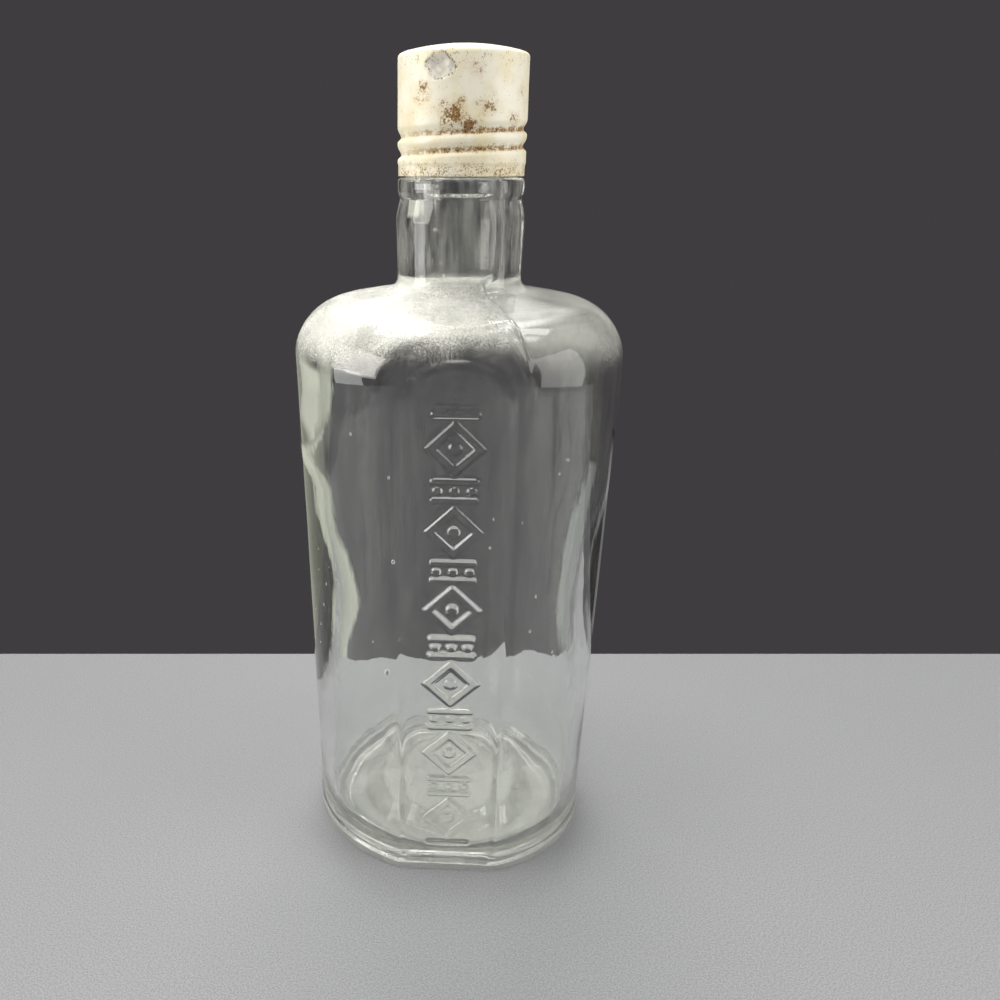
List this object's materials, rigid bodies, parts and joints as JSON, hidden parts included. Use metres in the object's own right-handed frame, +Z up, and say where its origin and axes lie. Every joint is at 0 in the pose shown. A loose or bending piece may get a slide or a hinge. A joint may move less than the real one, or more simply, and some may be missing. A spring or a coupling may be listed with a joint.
{
  "type": "screw cap bottle",
  "caption": "Round tapered clear glass bottle with a flat panel front and back, closed by a tall cream tin screw cap with a rolled thread and a cork liner.",
  "frame": {"origin": "centre of the standing ring, on the surface the bottle stands on", "axes": "+Z up along the axis of the neck and cap, the front panel faces -Y, +X to the right seen from the front"},
  "size_m": [0.067, 0.0632, 0.1667],
  "materials": {
    "clear_glass": "clear moulded glass with a faint grey-green tint, scuffed on the shoulder",
    "cream_tin": "cream stove enamel on tinplate, with rust specks and a dent",
    "cork": "composition cork, granular and matte",
    "waxed_paper": "waxed paper facing, satin"
  },
  "bodies": {
    "bottle": {"glass_bottle": "clear_glass"},
    "liner": {"liner_facing": "waxed_paper"},
    "cap": {"cap_shell": "cream_tin", "cork_wad": "cork"}
  },
  "joints": [
    {"name": "cap_lift", "type": "slide", "parent": "bottle", "child": "liner", "axis": [0, 0, 1], "range_m": [0, 0.0223]},
    {"name": "cap_turn", "type": "hinge", "parent": "liner", "child": "cap", "pos_m": [0, 0, 0.1605], "axis": [0, 0, 1], "range_deg": [0, 2520]}
  ],
  "couplings": [
    {"joint": "cap_lift", "follows": "cap_turn", "m_per_rad": 0.00050532}
  ]
}
